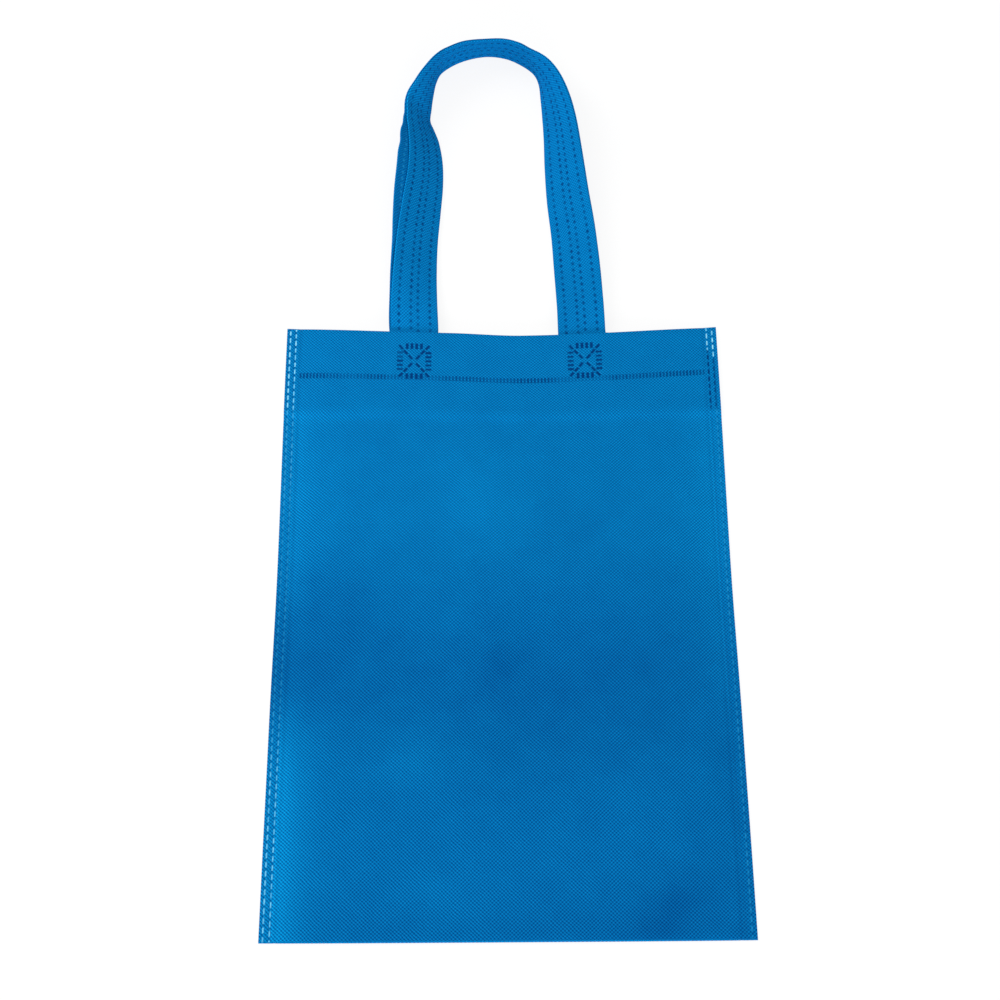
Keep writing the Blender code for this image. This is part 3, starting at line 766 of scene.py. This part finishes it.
def body_surface():
    body = Body()
    front_columns = Lines(column_stops(*FRONT_FINE[0]))
    front_rows = Lines(row_stops(*FRONT_FINE[1]))
    back_columns = Lines(column_stops(*BACK_FINE[0]))
    back_rows = Lines(row_stops(*BACK_FINE[1]))
    front = body.panel(front_columns, front_rows, True)
    back = body.panel(back_columns, back_rows, False)
    rings = []
    for i, j in zip(front_columns.base, back_columns.base):
        across = front_columns.values[i]
        up = [front[i, row] for row in front_rows.base]
        down = [back[j, row] for row in back_rows.base]
        front_rim, bottom, back_rim = rims_and_fold(body, across, up, down)
        rings.append((front_rim[::-1], up[::-1], bottom, down, back_rim))
    for k, (ring_a, ring_b) in enumerate(zip(rings, rings[1:])):
        for part in (0, 2, 4):
            body.strip(ring_a[part], ring_b[part])
        for part, end, panel, columns, row in (
            (0, -1, front, front_columns, front_rows.base[-1]),
            (2, 0, front, front_columns, front_rows.base[0]),
            (2, -1, back, back_columns, back_rows.base[0]),
            (4, 0, back, back_columns, back_rows.base[-1]),
        ):
            run = edge_run(panel, columns, k, row)
            body.faces.append([ring_b[part][end], ring_a[part][end]] + run)
    count = len(rings)
    for k in [*range(SEAM_CELLS), *range(count - 1 - SEAM_CELLS, count - 1)]:
        a, b = rings[k], rings[k + 1]
        body.faces.append([a[4][-1], a[0][0], b[0][0], b[4][-1]])
    close_cut_edge(body, sum(rings[0], []))
    close_cut_edge(body, sum(rings[-1], []))
    inner_rows = [SEAM_STACK]
    for k in range(1, INNER_ROWS + 1):
        inner_rows.append(blend(SEAM_STACK, HEM_EDGE - HEM_STEP, k / INNER_ROWS))
    inner_rows += [HEM_EDGE, (HEM_EDGE + HEM_WELD_LINE) / 2, HEM_WELD_LINE - HEM_DASH[1]]
    inner_rows += [BAG_HEIGHT - HEM_WELD_DEPTH / 2, MOUTH_LINE]
    hem_row = inner_rows.index(HEM_EDGE)
    slit_row = hem_row + 2
    chosen = list(range(SEAM_CELLS, count - SEAM_CELLS, INNER_STEP))
    inners = []
    for k in chosen:
        across = front_columns.values[front_columns.base[k]]
        inners.append(inner_chain(body, across, inner_rows, hem_row, slit_row))
    for first, chain_a, chain_b in zip(chosen, inners, inners[1:]):
        body.strip(chain_a, chain_b)
        lip = range(first, first + INNER_STEP + 1)
        front_lip = [rings[k][0][0] for k in lip]
        back_lip = [rings[k][4][-1] for k in lip]
        body.faces.append([chain_b[-1], chain_a[-1]] + front_lip)
        body.faces.append([chain_b[0], chain_a[0]] + back_lip)
    for k, chain in ((chosen[0], inners[0]), (chosen[-1], inners[-1])):
        ring = [rings[k][4][-1]] + chain + [rings[k][0][0]]
        close_pouch_side(body, ring, len(inner_rows), hem_row, slit_row)
    return body


# The handles

def hem_face(across, along):
    return float(front_height(across, along)) - HEM_THICKNESS


def leg_foot(side):
    """Stations of one strap end, from its foot under the hem to the mouth."""
    stations = []
    lead = STRAP_WIDTH * sin(radians(FOOT_TURN))
    most_lean = -RIGHT_FOOT_LEAN if side > 0 else 0.0
    for share in (1.0, 0.67, 0.33, 0.0, -lead / STRAP_TUCK):
        depth = share * STRAP_TUCK
        along = BAG_HEIGHT - depth
        lean = most_lean * (1 - depth / BOX_DEPTH)
        centre = HANDLE_SHIFT + side * HANDLE_SPACING / 2 + lean
        inner = centre - side * STRAP_WIDTH / 2
        outer = centre + side * STRAP_WIDTH / 2
        inner_z = hem_face(inner, along) - PIECE_GAP
        outer_z = hem_face(outer, along) - PIECE_GAP
        roll = degrees(asin((outer_z - inner_z) / STRAP_WIDTH))
        stations.append((Vector((inner, float(place(inner, along)[1]), inner_z)), roll))
    return stations


def free_station(share, climb, roll, left_foot, right_foot):
    rise = climb * LOOP_HEIGHT
    mouth_height = (left_foot.z + right_foot.z) / 2
    seat = FLOOR_GAP + STRAP_STACK * max(cos(radians(roll)), 0.0)
    height = blend(mouth_height, seat, float(ease(rise / STRAP_SETTLE)))
    across = blend(left_foot.x, right_foot.x, share)
    return Vector((across, BAG_HEIGHT / 2 + rise, height)), roll


def strap_stations():
    left = leg_foot(-1)
    right = leg_foot(1)[::-1]
    feet = left[-1][0], right[0][0]
    free = [free_station(*spot, *feet) for spot in LEFT_LEG + ARCH + RIGHT_LEG]
    return left + free + right


def spline(values, at):
    """Smooth course through the values, at a number of values from the first."""
    k = min(int(at), len(values) - 2)
    t = at - k
    before = values[max(k - 1, 0)]
    start = values[k]
    end = values[k + 1]
    after = values[min(k + 2, len(values) - 1)]
    slope_a = (end - before) / 2
    slope_b = (after - start) / 2
    cubic = start * (2 * t ** 3 - 3 * t ** 2 + 1) + end * (3 * t ** 2 - 2 * t ** 3)
    return cubic + slope_a * (t ** 3 - 2 * t ** 2 + t) + slope_b * (t ** 3 - t ** 2)


def front_frame(points, rolls, at):
    last = len(points) - 1
    here = spline(points, at)
    run = spline(points, min(at + 0.25, last)) - spline(points, max(at - 0.25, 0))
    outward = Vector((-run.y, run.x, 0.0)).normalized()
    up = run.cross(outward).normalized()
    roll = spline(rolls, at)
    across = outward * cos(radians(roll)) + up * sin(radians(roll))
    normal = up * cos(radians(roll)) - outward * sin(radians(roll))
    return here, across, normal, roll


def back_frame(point, across, normal, roll):
    """Place and directions of the back strap's section behind the front strap's."""
    behind = STRAP_THICKNESS + PIECE_GAP
    foot_height = HEM_THICKNESS + PIECE_GAP + STRAP_THICKNESS
    rise = point.y - BAG_HEIGHT / 2
    settle = float(ease(rise / STRAP_SETTLE))
    far = point + across * STRAP_WIDTH
    drop = max(blend(point.z - foot_height, behind, settle), behind)
    far_drop = max(blend(far.z - foot_height, behind, settle), behind)
    slide = 0.0
    if point.x < 0 and rise < BACK_SLIDE[-1][0] * LOOP_HEIGHT:
        slide = BACK_SLIDE_MOST * float(through_knots(BACK_SLIDE, max(rise / LOOP_HEIGHT, 0.0)))
    wedge = BACK_WEDGE * float(ease((roll - 90) / BACK_WEDGE_ROLL))
    start = point - normal * (drop + wedge)
    lean = (far - normal * far_drop - start).normalized()
    face = lean.cross(across.cross(normal)).normalized() * -1
    if wedge > 0:
        slide = (FLOOR_GAP - start.z) / lean.z
    return start + lean * slide, lean, face


def dense_frames(behind):
    """Even frames along the strap, each with the length so far."""
    stations = strap_stations()
    points = [point for point, roll in stations]
    rolls = [roll for point, roll in stations]
    last = len(stations) - 1
    tries = FRAME_TRIES * last
    line = []
    for k in range(tries + 1):
        here, across, normal, roll = front_frame(points, rolls, last * k / tries)
        line.append(here + across * (STRAP_WIDTH / 2))
    length = [0.0]
    for a, b in zip(line, line[1:]):
        length.append(length[-1] + (b - a).length)
    count = round(length[-1] / (DOT_PITCH / FRAMES_PER_DOT))
    frames = []
    for k in range(count + 1):
        goal = length[-1] * k / count
        at = float(np.interp(goal, length, np.arange(tries + 1))) * last / tries
        made = front_frame(points, rolls, at)
        if behind:
            made = back_frame(*made)
        frames.append((*made[:3], goal))
    return frames


def strap_columns():
    """Places across one face of the strap, closer together at the rows of dots."""
    radius = STRAP_THICKNESS / 2
    places = {radius, STRAP_WIDTH - radius}
    for share, _ in DOT_ROWS:
        for k in range(-DOT_COLUMN_REACH, DOT_COLUMN_REACH + 1):
            places.add(round(share * STRAP_WIDTH + k * DOT_COLUMN_STEP, 6))
    for k in range(1, STRAP_COLUMNS):
        u = STRAP_WIDTH * k / STRAP_COLUMNS
        if min(abs(u - share * STRAP_WIDTH) for share, _ in DOT_ROWS) > DOT_COLUMN_CLEAR:
            places.add(round(u, 6))
    return sorted(places)


def strap_outline():
    """Closed section: across, depth, place in the flat strip, and which face it is on."""
    radius = STRAP_THICKNESS / 2
    centre = STRAP_WIDTH / 2
    columns = strap_columns()
    outline = [(u, 0.0, u, 1) for u in columns]
    for turn in EDGE_TURNS:
        angle = radians(turn)
        arc = radius * (angle + pi / 2)
        u = STRAP_WIDTH - radius + radius * cos(angle)
        outline.append((u, radius + radius * sin(angle), STRAP_WIDTH - radius + arc, 0))
    lower = [u for u in columns if abs(u - centre) > STRAP_SLIT][::-1]
    outline += [(u, STRAP_THICKNESS, 2 * STRAP_WIDTH - u, -1) for u in lower if u > centre]
    for side in (1, -1):
        edge = centre + side * STRAP_SLIT / 2
        inner = [centre + side * STRAP_WIDTH * share for share in FLAP_SHARES]
        flap = [(edge, STRAP_THICKNESS), (edge, STRAP_THICKNESS - SHEET)]
        flap += [(u, STRAP_THICKNESS - SHEET) for u in inner]
        tip = centre + side * (STRAP_WIDTH / 2 - SHEET)
        flap.append((tip, radius))
        flap += [(u, SHEET) for u in inner[::-1]]
        if side < 0:
            flap = flap[::-1]
        outline += [(u, depth, -u, 0) for u, depth in flap]
    outline += [(u, STRAP_THICKNESS, -u, -1) for u in lower if u < centre]
    for turn in EDGE_TURNS[::-1]:
        angle = radians(turn)
        u = radius - radius * cos(angle)
        outline.append((u, radius + radius * sin(angle), u - radius * (angle + pi / 2), 0))
    return outline


def dot_marks(u, s):
    """Depth share of the dots at a place on the strap."""
    mark = np.zeros(np.broadcast(u, s).shape)
    for number, (share, phase) in enumerate(DOT_ROWS):
        steps = s / DOT_PITCH + phase
        index = np.floor(steps)
        along = (steps - index - 0.5) * DOT_PITCH
        across = u - share * STRAP_WIDTH
        far = np.sqrt((across / DOT_SIZE[0]) ** 2 + (along / DOT_SIZE[1]) ** 2)
        strength = DOT_STRENGTH[0] + DOT_STRENGTH[1] * chance(index, 9.0 + number)
        mark = np.maximum(mark, ease((DOT_EDGE[0] - far) / DOT_EDGE[1]) * strength)
    return mark


def strap_surface(behind):
    body = Body()
    outline = strap_outline()
    frames = dense_frames(behind)
    u = np.array([spot[0] for spot in outline])
    depth = np.array([spot[1] for spot in outline])
    flat = np.array([spot[2] for spot in outline])
    face = np.array([spot[3] for spot in outline])
    first, pitch = STRAP_PUFF_ROWS
    puff = STRAP_PUFF * np.abs(np.sin(pi * (u / STRAP_WIDTH - first) / pitch)) * (face > 0)
    far_edge = u > STRAP_WIDTH - STRAP_THICKNESS / 2
    end, over = LEG_END
    count = len(outline)
    rings = []
    for point, across, normal, s in frames:
        mark = dot_marks(u, s) * (face != 0)
        inset = depth + face * WELD_SINK * mark - puff
        rise = (point.y - BAG_HEIGHT / 2) / LOOP_HEIGHT
        leg = float(ease(rise / LEG_RISE) * ease((end - rise) / over)) * (point.x < 0)
        # Painted shadow on the back strap's face beside the left leg, with lighter dots in
        # place of dark ones; painted highlight along the front strap's folded outer edge
        if behind:
            hidden = leg * (face == 1)
            shade = BACK_FACE_SHADE * hidden
        else:
            hidden = 0.0 * face
            shade = FRONT_EDGE_HIGHLIGHT * leg * (face == 0) * far_edge
        dark = mark * (1 - hidden)
        glint = BACK_DOT_GLINT * mark * hidden
        ring = []
        for k in range(count):
            spot = point + across * float(u[k]) - normal * float(inset[k])
            ring.append(body.add(spot, (flat[k], s), dark[k], glint[k], shade[k]))
        rings.append(ring)
    for ring_a, ring_b in zip(rings, rings[1:]):
        for k in range(count):
            after = (k + 1) % count
            body.faces.append([ring_a[k], ring_a[after], ring_b[after], ring_b[k]])
    body.faces.append(rings[0][::-1])
    body.faces.append(rings[-1])
    return body


def add_piece(name, body, material):
    data = bpy.data.meshes.new(name)
    data.from_pydata(body.points, [], body.faces)
    mesh = bmesh.new()
    mesh.from_mesh(data)
    bmesh.ops.recalc_face_normals(mesh, faces=mesh.faces)
    mesh.to_mesh(data)
    mesh.free()
    uv = data.uv_layers.new(name="cloth")
    corner = np.zeros(len(data.loops), np.int32)
    data.loops.foreach_get("vertex_index", corner)
    uv.data.foreach_set("uv", np.array(body.cloth, np.float32)[corner].ravel() * 1000)
    for label in ("dark", "glint", "tone"):
        layer = data.attributes.new(label, "FLOAT", "POINT")
        layer.data.foreach_set("value", np.array(getattr(body, label), np.float32))
    data.materials.append(material)
    data.shade_smooth()
    data.set_sharp_from_angle(angle=radians(50))
    piece = bpy.data.objects.new(name, data)
    bpy.context.scene.collection.objects.link(piece)
    return piece


# Materials

class Nodes:
    """A short way to write node links."""

    def __init__(self, owner):
        owner.use_nodes = True
        self.tree = owner.node_tree
        self.tree.nodes.clear()

    def add(self, kind, inputs=None, **settings):
        """A new node; inputs says what feeds each input, by its name or number."""
        node = self.tree.nodes.new(kind)
        for key, value in settings.items():
            setattr(node, key, value)
        for key, value in (inputs or {}).items():
            if isinstance(value, bpy.types.NodeSocket):
                self.tree.links.new(value, node.inputs[key])
            else:
                node.inputs[key].default_value = value
        return node

    def math(self, operation, a, b=0.0, clamp=False):
        node = self.add("ShaderNodeMath", {0: a, 1: b}, operation=operation, use_clamp=clamp)
        return node.outputs[0]

    def plus(self, a, b):
        return self.math("ADD", a, b)

    def minus(self, a, b):
        return self.math("SUBTRACT", a, b)

    def times(self, a, b, clamp=False):
        return self.math("MULTIPLY", a, b, clamp)

    def mix(self, share, a, b):
        node = self.add("ShaderNodeMix", {"Factor": share, 6: a, 7: b}, data_type="RGBA")
        return node.outputs[2]

    def noise(self, vector, scale, detail=2.0, rough=0.5):
        inputs = {"Vector": vector, "Scale": scale, "Detail": detail, "Roughness": rough}
        return self.add("ShaderNodeTexNoise", inputs).outputs["Fac"]

    def value_of(self, name):
        return self.add("ShaderNodeAttribute", attribute_name=name).outputs["Fac"]


def cloth_material(name, low, high, relief):
    """Point-bonded spun cloth: a square lattice of bonds on the diagonal, with fibres."""
    material = bpy.data.materials.new(name)
    n = Nodes(material)
    cloth = n.add("ShaderNodeUVMap", uv_map="cloth").outputs["UV"]
    wander = n.noise(cloth, 0.30, 1.0)
    split = n.add("ShaderNodeSeparateXYZ", {0: cloth})
    drift = n.times(n.minus(wander, 0.5), LATTICE_WANDER)
    x = n.plus(split.outputs["X"], drift)
    y = n.plus(split.outputs["Y"], drift)
    falling = n.math("COSINE", n.times(n.plus(x, y), pi))
    rising = n.math("COSINE", n.times(n.minus(x, y), pi))
    uneven = n.minus(n.noise(cloth, 0.05, 1.0), 0.5)
    streak = n.times(uneven, LATTICE_STREAK)
    loss = n.times(split.outputs["X"], LATTICE_LEAN_LOSS)
    lean = n.minus(LATTICE_LEAN, loss)
    streak = n.plus(streak, lean)
    wave = n.plus(n.times(falling, n.plus(streak, 1.0)),
                  n.times(rising, n.minus(1.0, streak)))
    wave = n.times(wave, 0.5)
    fibre = n.noise(cloth, 3.2, 3.0, 0.65)
    patch = n.noise(cloth, 0.055, 3.0, 0.6)
    dots = n.times(n.plus(wave, 1.0), 0.5)
    bonds = n.times(dots, BOND_SHARE)
    grain = n.plus(bonds, n.times(fibre, FIBRE_SHARE))
    mixed = n.mix(grain, (*low, 1.0), (*high, 1.0))
    # Painted light and shade from the vertex attribute, plus random patches of the cloth's own
    # tone, scale the colour
    shading_and_patches = n.times(n.value_of("tone"), SHADING_REACH)
    patches = n.times(n.minus(patch, 0.5), PATCH_REACH)
    shading_and_patches = n.plus(shading_and_patches, patches)
    strength = n.plus(shading_and_patches, 1.0)
    blue = n.plus(n.times(shading_and_patches, SHADING_AND_PATCHES_IN_BLUE), 1.0)
    tint = n.add("ShaderNodeCombineXYZ", {"X": strength, "Y": strength, "Z": blue})
    scale = n.add("ShaderNodeVectorMath", {0: mixed, 1: tint.outputs[0]}, operation="MULTIPLY")
    dark = n.times(n.value_of("dark"), MARK_COVER, clamp=True)
    mixed = n.mix(dark, scale.outputs[0], MARK_COLOUR)
    glint = n.value_of("glint")
    shine = n.mix(n.times(glint, glint), *GLINT_COLOURS)
    mixed = n.mix(n.times(glint, GLINT_COVER, clamp=True), mixed, shine)
    lift = n.plus(n.times(wave, 0.7), n.times(fibre, 0.9))
    bump = n.add("ShaderNodeBump", {"Strength": 0.9, "Distance": relief, "Height": lift})
    rough = n.minus(0.80, n.times(n.value_of("dark"), 0.25))
    shader = n.add("ShaderNodeBsdfPrincipled", {
        "Base Color": mixed, "Normal": bump.outputs["Normal"], "Roughness": rough,
        "Specular IOR Level": 0.01,
    })
    n.add("ShaderNodeOutputMaterial", {"Surface": shader.outputs["BSDF"]})
    return material


def floor_material():
    """White table: it bounces light as white does, and shows a faint soft shadow."""
    material = bpy.data.materials.new("table_white")
    n = Nodes(material)
    grain = n.noise(n.add("ShaderNodeTexCoord").outputs["Object"], 40.0, 2.0)
    white = n.mix(grain, (0.80, 0.80, 0.80, 1.0), (0.84, 0.84, 0.84, 1.0))
    real = n.add("ShaderNodeBsdfDiffuse", {"Color": white}).outputs[0]
    soft = n.add("ShaderNodeBsdfDiffuse", {"Color": (0.16, 0.16, 0.16, 1.0)}).outputs[0]
    glow = n.add("ShaderNodeEmission", {"Color": WHITE, "Strength": 0.86}).outputs[0]
    both = n.add("ShaderNodeAddShader", {0: soft, 1: glow}).outputs[0]
    path = n.add("ShaderNodeLightPath").outputs
    seen = n.math("MAXIMUM", path["Is Camera Ray"], path["Is Glossy Ray"])
    seen = n.math("MAXIMUM", seen, path["Is Transmission Ray"])
    mix = n.add("ShaderNodeMixShader", {0: seen, 1: real, 2: both}).outputs[0]
    n.add("ShaderNodeOutputMaterial", {"Surface": mix})
    return material


# Stage, light and camera

def add_floor():
    mesh = bmesh.new()
    bmesh.ops.create_grid(mesh, x_segments=4, y_segments=4, size=6.0)
    data = bpy.data.meshes.new("table")
    mesh.to_mesh(data)
    mesh.free()
    data.materials.append(floor_material())
    floor = bpy.data.objects.new("table", data)
    floor.location.z = -0.0002
    bpy.context.scene.collection.objects.link(floor)


def add_area(name, spot, target, size, power):
    light = bpy.data.lights.new(name, "AREA")
    light.shape = "DISK"
    light.size = size
    light.energy = power
    lamp = bpy.data.objects.new(name, light)
    lamp.location = spot
    aim = Vector(target) - Vector(spot)
    lamp.rotation_euler = aim.to_track_quat("-Z", "Y").to_euler()
    bpy.context.scene.collection.objects.link(lamp)


def add_light():
    world = bpy.data.worlds.new("studio")
    bpy.context.scene.world = world
    n = Nodes(world)
    path = n.add("ShaderNodeLightPath").outputs
    seen = n.math("MAXIMUM", path["Is Camera Ray"], path["Is Transmission Ray"])
    power = n.plus(SKY, n.times(seen, SKY_SEEN))
    glow = n.add("ShaderNodeBackground", {"Color": WHITE, "Strength": power})
    n.add("ShaderNodeOutputWorld", {"Surface": glow.outputs[0]})
    for lamp in LAMPS:
        add_area(*lamp)


def add_camera():
    data = bpy.data.cameras.new("camera")
    data.sensor_width = 36.0
    data.lens = CAMERA_LENS
    data.clip_start = 0.05
    data.clip_end = 20.0
    camera = bpy.data.objects.new("camera", data)
    heading = Matrix.Rotation(radians(CAMERA_HEADING), 4, "Z")
    tilt = Matrix.Rotation(radians(CAMERA_TILT), 4, "X")
    roll = Matrix.Rotation(radians(CAMERA_ROLL), 4, "Z")
    spot = Matrix.Translation(CAMERA_PLACE)
    camera.matrix_world = spot @ heading @ tilt @ roll
    bpy.context.scene.collection.objects.link(camera)
    bpy.context.scene.camera = camera


def main():
    scene = bpy.context.scene
    scene.view_settings.view_transform = "Standard"
    bag = cloth_material("bag_cloth_look", *BAG_COLOURS, CLOTH_RELIEF)
    strap = cloth_material("handle_cloth_look", *STRAP_COLOURS, CLOTH_RELIEF)
    body = add_piece("bag_panels", body_surface(), bag)
    front = add_piece("front_strap", strap_surface(False), strap)
    back = add_piece("back_strap", strap_surface(True), strap)
    for piece, node, slot in (
        (body, "bag_body", "bag_cloth"),
        (front, "front_handle", "handle_cloth"),
        (back, "back_handle", "handle_cloth"),
    ):
        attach(piece, "root")
        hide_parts(node)
    add_floor()
    add_light()
    add_camera()


main()
